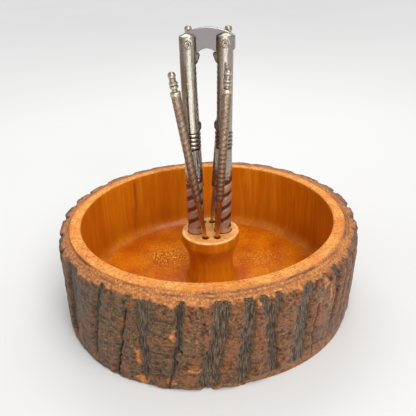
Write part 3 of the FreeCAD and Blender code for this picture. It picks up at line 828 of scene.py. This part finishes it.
class NUTBOWL_OT_rough_bark(bpy.types.Operator):
    """Lofts the rough bark's ring, then carves its furrows, plates, flakes and sanded edges into it"""

    bl_idname = "nut_bowl.rough_bark"
    bl_label = "Rough bark"

    def execute(self, context):
        sizes = context.scene.nut_bowl_sizes
        inner, edge = wide("inner_bark") + 0.05, RIM - BEVEL_DROP
        outline = [(inner, 0.0), (inner, 20.0), (inner, 40.0), (inner, edge)]
        outline += [(inner + 0.25 + 0.6 * k, edge - 0.02 - 0.5 * k) for k in range(9)]
        outline += [(95.0, z) for z in np.linspace(outline[-1][1] - 0.6, 0, 74)]
        piece = lofted("rough_bark_ring", [(Vector(), r, z) for r, z in outline], sizes.round_log)
        x, y, z = points(piece)
        out = np.hypot(x, y) > inner + 0.12
        x, y = x + BAND.x * (1 - out), y + BAND.y * (1 - out)
        way = np.degrees(np.arctan2(y, x))
        turns, cos, sin = way / 360, np.cos(np.radians(way)), np.sin(np.radians(way))
        # behind, the edge is sanded almost level instead of bevelled
        level = level_behind(way)
        z = z + LIFT_BEHIND * level * step(36, edge, z)
        edge = edge + LIFT_BEHIND * level
        skin, furrow, crack, flake, warm = bark_skin(way, z, sizes)
        start = inner + BAND.x * cos + BAND.y * sin + 0.02
        ragged = 1.5 * (grain(turns, z * 0, 150, 1, 31) - 0.5) + 1.0 * (grain(turns, z * 0, 420, 1, 32) - 0.5)
        bevel = start + (edge - z) * (1.18 + 5.0 * level) + ragged * step(0, 2, edge - z)
        # the log narrows towards its foot at the right, and stands full at the left
        skin = skin - 5.0 * dip(way, -45, 38) * (1 - step(0, 52, z))
        full = 1.7 * dip(way, -135, 38)
        low_edge = wide("outer_bark") - 1.7 + full + 1.5 * sin**2 + z * 0.5 + 0.6 * ragged
        low_edge = low_edge - 1.4 * furrow - 6.4 * dip(way, -50, 36)
        radius = np.maximum(np.minimum.reduce([skin, bevel, low_edge]), start)
        above, below = skin - bevel, skin - low_edge
        radius = np.where(z < 0.001, radius - 0.3, radius)
        set_points(piece, np.where(out, radius * cos, x), np.where(out, radius * sin, y), z)
        right = step(-120, -60, way) * (1 - step(60, 150, way))
        # only the innermost 2 mm are sanded clean; further out the weathered bark is rounded over
        reach = 1.9 + 2.6 * (grain(turns, z * 0, 70, 1, 34) - 0.5)
        reach = reach + 1.2 * (grain(turns, z * 0, 300, 1, 35) - 0.5) - 1.8 * furrow
        clean = step(-0.35, 0.25, above) * (1 - step(reach - 0.3, reach + 0.3, radius - start))
        sanded = np.maximum(clean, (0.15 + 0.2 * right) * step(-0.1, 0.4, below))
        paint(
            piece,
            furrow=furrow * (1 - clean),
            sanded=sanded,
            flake=flake * (1 - sanded),
            crack=crack * (1 - 0.7 * sanded),
            warm=warm,
        )
        hand_over(piece, "bowl", "outer_bark", "rough_bark", weathered_bark(), sharp=60)
        return {"FINISHED"}


class NUTBOWL_OT_post(bpy.types.Operator):
    """Turns the post, drills its two sockets and four pick holes, and gives its top a ragged sanded edge"""

    bl_idname = "nut_bowl.post"
    bl_label = "Post"

    def execute(self, context):
        low, lip, lip_low = foot("post"), wide("post"), POST_TOP - 7
        # the screw's hole, the tenon and a bead of varnish round the foot
        outline = [(0, low + 14), (1.9, low + 14), (1.9, low), (TENON, low), (TENON, FLOOR + 0.02)]
        outline += [(17.8, FLOOR + 0.02), (18.0, FLOOR + 0.4), (17.3, FLOOR + 0.9)]
        # the hollowed waist, then the lip
        waist = ((0.08, 16.4), (0.2, 15.2), (0.34, 14.5), (0.46, 14.4), (0.6, 14.6), (0.74, 15.5))
        waist += ((0.87, 16.9), (0.95, 18.0))
        outline += [(r, FLOOR + (lip_low - FLOOR) * t) for t, r in waist]
        outline += [(lip, lip_low + 0.3), (lip, POST_TOP - 0.8), (lip - 0.25, POST_TOP - 0.25)]
        outline += [(lip - 0.8, POST_TOP), (0, POST_TOP)]
        piece = turned("turned_post", fine(outline, 1.2), 144)
        x, y, z = points(piece)
        away, turns = np.hypot(x, y), np.arctan2(y, x) / TURN
        # the lip's edge is chipped by the saw and slightly out of round
        wear = step(POST_TOP - 2, POST_TOP, z) * step(14, lip, away)
        shrink = 1 - wear * 0.022 * grain(turns, z * 0, 36, 1, 51)
        shrink = shrink + 0.006 * np.sin(3 * TURN * turns) * (away > 12)
        set_points(piece, x * shrink, y * shrink, z)
        # sockets 10 mm deep for the arms and holes 12.6 mm deep for the picks, cut from 2 mm over the top
        for name in SIDES:
            drill(piece, 5.9, 12, (socket_x(name) - POST.x, 0, POST_TOP - 4), sides=64)
        for name in PICKS:
            at, _ = pick_line(name)
            drill(piece, 2.4, 14.6, (at.x - POST.x, at.y - POST.y, POST_TOP - 5.3), sides=36)
        put(piece, (POST.x, POST.y, 0))
        x, y, z = points(piece)
        turns = np.arctan2(y - POST.y, x - POST.x) / TURN
        away = np.hypot(x - POST.x, y - POST.y)
        # redder low down; the top is a little pale, and a highlight is painted along the lip's edge
        redder = 0.3 * (1 - step(FLOOR, FLOOR + 10, z)) * (away > 12)
        redder = np.maximum(redder, 0.15 * grain(turns, z * 0, 30, 1, 52))
        lip_highlight = step(lip - 2.2, lip - 0.6, away) * grain(turns, z * 0, 46, 1, 53)
        paint(piece, resin=redder, pale=0.12 + 0.75 * lip_highlight)
        hand_over(piece, "bowl", "post", "varnished_post", long_grain(), end_grain())
        for face in piece.data.polygons:
            if face.center.z / MM > POST_TOP - 0.6 and face.normal.z > 0.3:
                face.material_index = 1
        screw = frame["nodes"]["post_screw"]
        screw.data.materials.clear()
        screw.data.materials.append(zinc_screw())
        return {"FINISHED"}


# ---- the nutcracker ----

LYING = (math.pi / 2, 0, 0)  # turns an upright shape to lie front to back
RIVET_RADIUS = 1.65
GRIP_RADIUS, SHAFT_RADIUS = 5.45, 5.05
GRIP_TOP, LEAF_TOP = 36.0, 57.2  # above the post's top, as all heights on the arms are
BEADS_LOW, BEAD_PITCH = 57.5, 2.5
STOP_LOW, STOP_HIGH = 68.5, 74.1
JAW_LOW, JAW_HIGH = 74.6, 108.6
TOOTH_DEPTH, TOOTH_PITCH = 0.6, 3.0
LIP_LOW, LIP_HIGH = 108.4, 113.8


def arm_outline():
    """An arm from its tapered foot up through its grip, leaves, four beads and shaft to its cap."""
    outline = [(0, -9.7), (2.9, -9.7), (3.3, -9.3), (4.7, -4.85), (GRIP_RADIUS, 0.4), (GRIP_RADIUS, GRIP_TOP)]
    outline += [(SHAFT_RADIUS + 0.1, LEAF_TOP)]
    bead = ((4.45, 0), (5.2, 0.5), (GRIP_RADIUS, 0.9), (GRIP_RADIUS, 1.6), (5.2, 2.0))
    outline += [(r, BEADS_LOW + k * BEAD_PITCH + z) for k in range(4) for r, z in bead]
    outline += [(4.45, BEADS_LOW + 10), (SHAFT_RADIUS, BEADS_LOW + 10.6)]
    cap = ((SHAFT_RADIUS, 3.3), (SHAFT_RADIUS - 0.25, 3.6), (2.4, 4.7), (0, 5.4))
    return outline + [(r, PIVOT_RISE + z) for r, z in cap]


def socket_x(name):
    """Where an arm's axis crosses the post's top; the nutcracker leans a little to the right."""
    return POST.x + SIDES[name] * 8.6 - 0.4


def arm_lean(name):
    return math.asin((PIVOT[name].x - socket_x(name)) / PIVOT_RISE)


class NUTBOWL_OT_arms(bpy.types.Operator):
    """Turns the nutcracker's arms, twists their grips, presses their leaves, and cuts their jaws and slots"""

    bl_idname = "nut_bowl.arms"
    bl_label = "Nutcracker arms"

    def execute(self, context):
        for name, side in SIDES.items():
            self.arm(context.scene.nut_bowl_sizes, name, side)
        return {"FINISHED"}

    def arm(self, sizes, name, side):
        piece = turned(f"{name}_arm_steel", fine(arm_outline(), 0.55), 72)
        x, y, h = points(piece)  # h is the height over the post's top
        away = np.hypot(x, y)
        way = np.arctan2(x, -y)  # 0 in front, growing to the right
        # two bands twist up the grip, rising to the right in front
        pitch = sizes.twist_pitch / MM
        band = self.band(way, h, pitch, side)
        on_grip = step(3, 5, h) * (1 - step(GRIP_TOP - 2.5, GRIP_TOP + 1, h))
        away = away - np.where(away > 3, (1 - band) * on_grip * sizes.twist_depth / MM, 0)
        # four leaves, flat and pointed at their feet
        half = math.radians(34) * step(GRIP_TOP - 4, LEAF_TOP - 3, h) ** 0.8
        half = np.where(h < LEAF_TOP - 0.4, half, 0)
        for at in (28, 118, 208, 298):
            off = (way - math.radians(at) + math.pi) % TURN - math.pi
            flat = SHAFT_RADIUS * 1.03 * np.cos(half) / np.maximum(np.cos(off), 0.3)
            away = np.where((np.abs(off) < half) & (away > 3), np.minimum(away, flat), away)
        x, y = away * np.sin(way), -away * np.cos(way)
        inner = x * -side  # grows towards the other arm
        # the stop, the flat jaw with its rounded teeth, and the hooked lip
        stop = step(STOP_LOW, STOP_LOW + 1.4, h) * (1 - step(STOP_HIGH - 1.4, STOP_HIGH, h))
        inner = inner + 0.9 * stop * (1 - step(2.2, 3.2, np.abs(y))) * (inner > 0)
        teeth = TOOTH_DEPTH * np.abs(((h - JAW_LOW) / TOOTH_PITCH) % 1 * 2 - 1)
        face = SHAFT_RADIUS - TOOTH_DEPTH - teeth
        on_jaw = (h > JAW_LOW) & (h < JAW_HIGH)
        inner = np.where(on_jaw & (inner > face), face, inner)
        hook = np.clip((h - LIP_LOW) / (LIP_HIGH - LIP_LOW), 0, 1) * (1 - step(LIP_HIGH, LIP_HIGH + 0.8, h))
        inner = inner + 2.0 * hook * (1 - step(1.9, 2.7, np.abs(y))) * (inner > 0)
        x = inner * -side
        # a pressed ring round the rivet
        y = y - np.sign(y) * 0.3 * dip(np.hypot(x, h - PIVOT_RISE), 2.1, 0.3)
        set_points(piece, x, y, h - PIVOT_RISE)
        self.cut_slot(piece)
        drill(piece, RIVET_RADIUS + 0.01, 30, (0, 0, 0), LYING)
        x, y, z = points(piece)
        h, away, way = z + PIVOT_RISE, np.hypot(x, y), np.arctan2(x, -y)
        band = self.band(way, h, pitch, side)
        on_grip = step(3, 4.5, h) * (1 - step(GRIP_TOP - 2, GRIP_TOP + 1, h))
        # it is brown with tarnish in the twist's hollows, between the beads and on the jaw, and a reflection is
        # painted down the shaft's left
        painted_left_reflection = np.exp(-(((np.degrees(way) + 50) / 26) ** 4)) * (0.75 + 0.15 * np.sin(h * 0.21 + side))
        # the brown in the twist's hollows is partly a painted reflection of the bowl
        tarnish = np.maximum.reduce([
            0.12 + on_grip * (1.0 - 0.75 * band) + 0.7 * (h < 0),
            0.75 * (1 - step(4.6, 4.9, away)) * (h > 57) * (h < 68),
            painted_left_reflection * (h > LEAF_TOP) * (h < PIVOT_RISE + 3),
            0.8 * ((x * -side) > 4.0) * (h > JAW_LOW - 7) * (h < JAW_HIGH),
        ])
        paint(piece, tarnish=tarnish, matt=0.7 * np.maximum(band * on_grip, (h > 0) * (h < 4)))
        put(piece, PIVOT[name], (0, arm_lean(name), 0))
        hand_over(piece, f"{name}_arm", f"{name}_arm", "nickel_plated_steel", nickel(), sharp=35)

    def band(self, way, h, pitch, side):
        """1 on a band of the twist and 0 in the hollow between two. Two bands wind up each grip."""
        phase = (h / pitch - way * 2 / TURN - (0.18 if side > 0 else 0.3)) % 1
        return step(0.14, 0.26, phase) * (1 - step(0.74, 0.86, phase))

    def cut_slot(self, piece):
        """The slot for the link plate, 0.2 mm clear of it, from 7.6 mm under the pivot out through the cap."""
        low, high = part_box("link_plate")
        front, back = low.y / MM - PIVOT["left"].y - 0.2, high.y / MM - PIVOT["left"].y + 0.2
        nothing_selected()
        bpy.ops.mesh.primitive_cube_add(
            size=MM, location=(0, (front + back) / 2 * MM, 2.4 * MM), scale=(22, back - front, 20)
        )
        cut(piece, bpy.context.object)


class NUTBOWL_OT_rivets(bpy.types.Operator):
    """Turns the two rivets, with dished heads, and lays them through the arms"""

    bl_idname = "nut_bowl.rivets"
    bl_label = "Rivets"

    def execute(self, context):
        dished = ((0, 0.35), (0.6, 0.3), (0.95, 0.1), (1.2, 0), (1.45, 0.03), (RIVET_RADIUS, 0.3))
        for name in SIDES:
            low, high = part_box(f"{name}_pivot_pin")
            end = (high.y - low.y) / 2 / MM
            head = [(r, end - sunk) for r, sunk in dished]
            tail = [(r, -z) for r, z in reversed(head)]
            piece = turned(f"{name}_rivet", head + [(RIVET_RADIUS, 0)] + tail, 40)
            x, y, _ = points(piece)
            away = np.hypot(x, y)
            # the dark in the dished centre is a painted reflection, and the head's rim and shank are tarnished
            paint(piece, tarnish=0.7 * (away < 0.8) + 0.5 * (away > 1.6))
            put(piece, PIVOT[name], LYING)
            hand_over(piece, f"{name}_arm", f"{name}_pivot_pin", "nickel_plated_steel", nickel())
        return {"FINISHED"}


def arc(start, crown, end, count):
    """Points on the circular arc through three points in the plate's plane."""
    (ax, az), (bx, bz), (cx, cz) = start, crown, end
    d = 2 * (ax * (bz - cz) + bx * (cz - az) + cx * (az - bz))
    a, b, c = ax * ax + az * az, bx * bx + bz * bz, cx * cx + cz * cz
    x = (a * (bz - cz) + b * (cz - az) + c * (az - bz)) / d
    z = (a * (cx - bx) + b * (ax - cx) + c * (bx - ax)) / d
    first, mid, last = (math.atan2(p[1] - z, p[0] - x) for p in (start, crown, end))
    if not min(first, last) < mid < max(first, last):
        last += TURN if last < first else -TURN
    radius = math.hypot(ax - x, az - z)
    return [(x + radius * math.cos(t), z + radius * math.sin(t)) for t in np.linspace(first, last, count)]


class NUTBOWL_OT_plate(bpy.types.Operator):
    """Draws the link plate's outline, thickens it, bores it for the rivets and rounds its edges"""

    bl_idname = "nut_bowl.plate"
    bl_label = "Link plate"

    def execute(self, context):
        low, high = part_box("link_plate")
        half, centre = wide("link_plate"), middle("link_plate")
        pivot = PIVOT["left"].z
        between = (PIVOT["left"].x + PIVOT["right"].x) / 2 - centre.x
        crown = high.z / MM - pivot
        # the crowned top, the right corner, the arch between the arms and the left corner
        outline = arc((-half, 3.2), (0, crown), (half, 3.2), 40)
        outline += [(half, -3.5), (half - 0.5, -4.6), (half - 1.6, -5.1)]
        outline += arc((between + 5, -6.0), (between, -3.5), (between - 5, -6.0), 22)
        outline += [(1.6 - half, -5.1), (0.5 - half, -4.6), (-half, -3.5)]
        piece = drawn("link_plate_sheet", outline)
        bpy.ops.mesh.edge_face_add()
        bpy.ops.mesh.extrude_region_move(TRANSFORM_OT_translate={"value": (0, high.y - low.y, 0)})
        close_up()
        put(piece, (centre.x, low.y / MM, pivot))
        for name in SIDES:
            drill(piece, RIVET_RADIUS + 0.05, 60, (PIVOT[name].x, 0, PIVOT[name].z), LYING)
        choose(piece)
        modifier = piece.modifiers.new("edge", "BEVEL")
        modifier.width, modifier.segments = context.scene.nut_bowl_sizes.plate_edge, 3
        modifier.angle_limit = math.radians(50)
        bpy.ops.object.modifier_apply(modifier="edge")
        hand_over(piece, "cracker_link", "link_plate", "satin_plate_steel", satin_plate(), nickel())
        # its edges are rubbed bright
        for face in piece.data.polygons:
            face.use_smooth = abs(face.normal.y) < 0.99
            face.material_index = int(face.use_smooth)
        return {"FINISHED"}


# ---- the picks ----

TINE_RADIUS, TINE_LOW, TINE_FULL = 1.55, -11.9, 10.1  # its point and where it is full, along the pick
HANDLE_LOW, TANG = 26.3, 9.9  # the handle's foot, and how far the tine goes up into it
BALL_RADIUS = 2.3


def pick_line(name):
    """Where a pick crosses the post's top, and its direction."""
    joint = next(j for j in frame["joints"] if j["name"] == f"{name}_pick_lift")
    along = Vector(joint["axis"]).normalized()
    mesh = frame["nodes"][f"{name}_pick_tine"].data
    centre = sum((v.co for v in mesh.vertices), Vector()) / len(mesh.vertices) / MM
    return centre + along * ((POST_TOP - centre.z) / along.z), along


class NUTBOWL_OT_picks(bpy.types.Operator):
    """Turns the four picks, presses the bands into their handles, and stands each one in its hole"""

    bl_idname = "nut_bowl.picks"
    bl_label = "Picks"

    def execute(self, context):
        for number, name in enumerate(PICKS):
            self.pick(context.scene.nut_bowl_sizes, name, number)
        return {"FINISHED"}

    def pick(self, sizes, name, number):
        at, along = pick_line(name)
        lean = Vector((0, 0, 1)).rotation_difference(along).to_euler()
        ball = (top(f"{name}_pick_handle") - BALL_RADIUS - POST_TOP) / along.z
        collar = ball - 11.74
        handle = turned(f"{name}_handle_steel", fine(self.handle_outline(collar, ball), 0.5), 40)
        x, y, z = points(handle)
        away, way = np.hypot(x, y), np.arctan2(x, -y)
        band = self.band(way + number, z, sizes.pick_pitch / MM, name == "front_right")
        full = away > 1.8
        pressed = step(HANDLE_LOW + 1, HANDLE_LOW + 3, z) * (1 - step(collar - 11, collar - 6, z)) * full
        # the upper end of the handle is fluted
        fluted = step(collar - 12, collar - 8, z) * (1 - step(collar - 1, collar, z)) * full
        new = away - sizes.pick_depth / MM * pressed * (1 - band)
        new = new - 0.14 * fluted * (0.5 + 0.5 * np.cos(way * 9))
        safe = np.maximum(away, 1e-6)
        set_points(handle, x * new / safe, y * new / safe, z)
        head = step(collar - 1, collar + 1, z)
        tarnish = 0.62 + 0.27 * (1 - step(HANDLE_LOW, HANDLE_LOW + 42, z)) + 0.12 * (1 - band) * pressed
        tarnish = tarnish - 0.6 * head + 0.45 * (1 - step(1.8, 2.3, away)) * head
        paint(handle, tarnish=tarnish, matt=0.1 * band * (1 - head))
        outline = [(0, TINE_LOW), (0.3, TINE_LOW), (TINE_RADIUS, TINE_FULL), (TINE_RADIUS, HANDLE_LOW)]
        outline += [(1.2, HANDLE_LOW), (1.2, HANDLE_LOW + TANG), (0, HANDLE_LOW + TANG)]
        tine = turned(f"{name}_tine_steel", fine(outline, 2.5), 24)
        paint(tine, tarnish=0.02 + 0.2 * (1 - step(0, 6, points(tine)[2])))
        # the front tines have the bowl's amber reflection painted into their colour
        below = bowl_reflection_steel() if name.startswith("front") else pick_steel()
        for piece, part, steel in ((handle, "handle", pick_steel()), (tine, "tine", below)):
            put(piece, at, lean)
            hand_over(piece, f"{name}_pick", f"{name}_pick_{part}", "worn_pick_steel", steel)

    def handle_outline(self, collar, ball):
        """A handle from its foot up to its collar, neck, two beads and ball."""
        low = HANDLE_LOW
        outline = [(1.2, low + 10), (1.2, low), (2.2, low), (2.45, low + 0.6), (2.9, collar)]
        neck = ((3.1, 0.3), (3.1, 1.9), (2.6, 2.4), (1.7, 2.6), (1.7, 4.3))
        bead = ((1.8, 0), (2.45, 0.35), (2.6, 0.8), (2.6, 1.2), (2.45, 1.65), (1.8, 2))
        outline += [(r, collar + z) for r, z in neck]
        for low in (collar + 4.3, collar + 6.3):
            outline += [(r, low + z) for r, z in bead]
        outline += [(1.9, collar + 8.6), (1.9, ball - 1.3)]
        for a in np.radians((-28, -12, 5, 22, 38, 55, 72)):
            outline.append((BALL_RADIUS * math.cos(a), ball + BALL_RADIUS * math.sin(a)))
        return outline + [(0, ball + BALL_RADIUS)]

    def band(self, way, z, pitch, ringed):
        """1 on a pressed band and 0 in its groove. Bands climb the handle, and are close rings low on one pick."""
        phase = (z - way * 2 * pitch / TURN) / pitch % 1
        climbing = step(0.02, 0.22, phase) * (1 - step(0.8, 1.0, phase))
        if not ringed:
            return climbing
        ring = (z / 3.0) % 1
        rings = step(0.0, 0.3, ring) * (1 - step(0.7, 1.0, ring))
        low = 1 - step(58, 64, z)
        return climbing * (1 - low) + rings * low


# ---- the stage ----


class NUTBOWL_OT_stage(bpy.types.Operator):
    """Lays the pale floor, hangs the soft lights and sets the camera"""

    bl_idname = "nut_bowl.stage"
    bl_label = "Stage"

    def execute(self, context):
        nothing_selected()
        bpy.ops.mesh.primitive_plane_add(size=8, location=(0, 0, -0.0002))
        floor = named("studio_floor")
        bpy.ops.object.transform_apply(location=True)
        floor.data.materials.append(stage_paint())
        world = bpy.data.worlds.new("soft studio")
        context.scene.world = world
        world.use_nodes = True
        background = world.node_tree.nodes["Background"]
        background.inputs["Color"].default_value = linear("dfe4ea")
        background.inputs["Strength"].default_value = 0.72
        aim = Vector((HOLLOW.x, HOLLOW.y, RIM)) * MM
        bpy.ops.object.light_add(type="SUN", location=(0.3, -0.6, 1.3))
        sun = context.object
        sun.data.energy, sun.data.angle = 2.1, math.radians(50)
        sun.rotation_euler = (-sun.location).to_track_quat("-Z", "Y").to_euler()
        # a soft box beside and above the camera, a low panel in front that draws the bright line down the
        # metal, and a panel behind and above that lights the caps
        self.panel(context, (0.3, -0.8, 0.6), aim, 0.3, 0.3, 2.0)
        self.panel(context, (0.06, -0.38, 0.075), Vector((0.0, -0.22, 0.5)), 0.3, 0.46, 0.7)
        self.panel(context, (0.0, 0.4, 0.62), aim, 0.5, 0.35, 1.5)
        self.camera(context, aim)
        context.scene.view_settings.view_transform = "Standard"
        return {"FINISHED"}

    def panel(self, context, place, aim, width, height, power):
        bpy.ops.object.light_add(type="AREA", location=place)
        light = context.object
        light.data.shape, light.data.size, light.data.size_y = "RECTANGLE", width, height
        light.data.energy = power
        light.rotation_euler = (aim - light.location).to_track_quat("-Z", "Y").to_euler()

    def camera(self, context, aim):
        """A 54 mm lens 0.4 m off, looking down from the front, with the slight roll of a hand-held view."""
        down, roll = math.radians(26.8), math.radians(-1.96)
        back = Vector((0, -math.cos(down), math.sin(down)))
        bpy.ops.object.camera_add(location=aim + back * 0.4)
        camera = context.object
        turn = (-back).to_track_quat("-Z", "Y").to_matrix().to_4x4()
        camera.rotation_euler = (turn @ turn.Rotation(roll, 4, "Z")).to_euler()
        camera.data.sensor_width = 36
        camera.data.lens = 53.84
        camera.data.shift_x, camera.data.shift_y = 0.0035, 0.0132
        camera.data.clip_start = 0.01
        context.scene.camera = camera


class NUTBOWL_PT_panel(bpy.types.Panel):
    """The bowl's pieces, sizes and colours"""

    bl_label = "Nut bowl"
    bl_space_type = "VIEW_3D"
    bl_region_type = "UI"
    bl_category = "Nut bowl"

    def draw(self, context):
        for operator in OPERATORS:
            self.layout.operator(operator.bl_idname)
        for group in (context.scene.nut_bowl_sizes, context.scene.nut_bowl_colours):
            for name in group.__annotations__:
                self.layout.prop(group, name)


OPERATORS = (
    NUTBOWL_OT_wood,
    NUTBOWL_OT_inner_bark,
    NUTBOWL_OT_rough_bark,
    NUTBOWL_OT_post,
    NUTBOWL_OT_arms,
    NUTBOWL_OT_rivets,
    NUTBOWL_OT_plate,
    NUTBOWL_OT_picks,
    NUTBOWL_OT_stage,
)
CLASSES = (NutBowlSizes, NutBowlColours, *OPERATORS, NUTBOWL_PT_panel)


def register():
    for item in CLASSES:
        bpy.utils.register_class(item)
    bpy.types.Scene.nut_bowl_sizes = PointerProperty(type=NutBowlSizes)
    bpy.types.Scene.nut_bowl_colours = PointerProperty(type=NutBowlColours)


def unregister():
    del bpy.types.Scene.nut_bowl_colours
    del bpy.types.Scene.nut_bowl_sizes
    for item in reversed(CLASSES):
        bpy.utils.unregister_class(item)


def main():
    register()
    for operator in OPERATORS:
        group, name = operator.bl_idname.split(".")
        getattr(getattr(bpy.ops, group), name)()


if __name__ == "__main__":
    main()
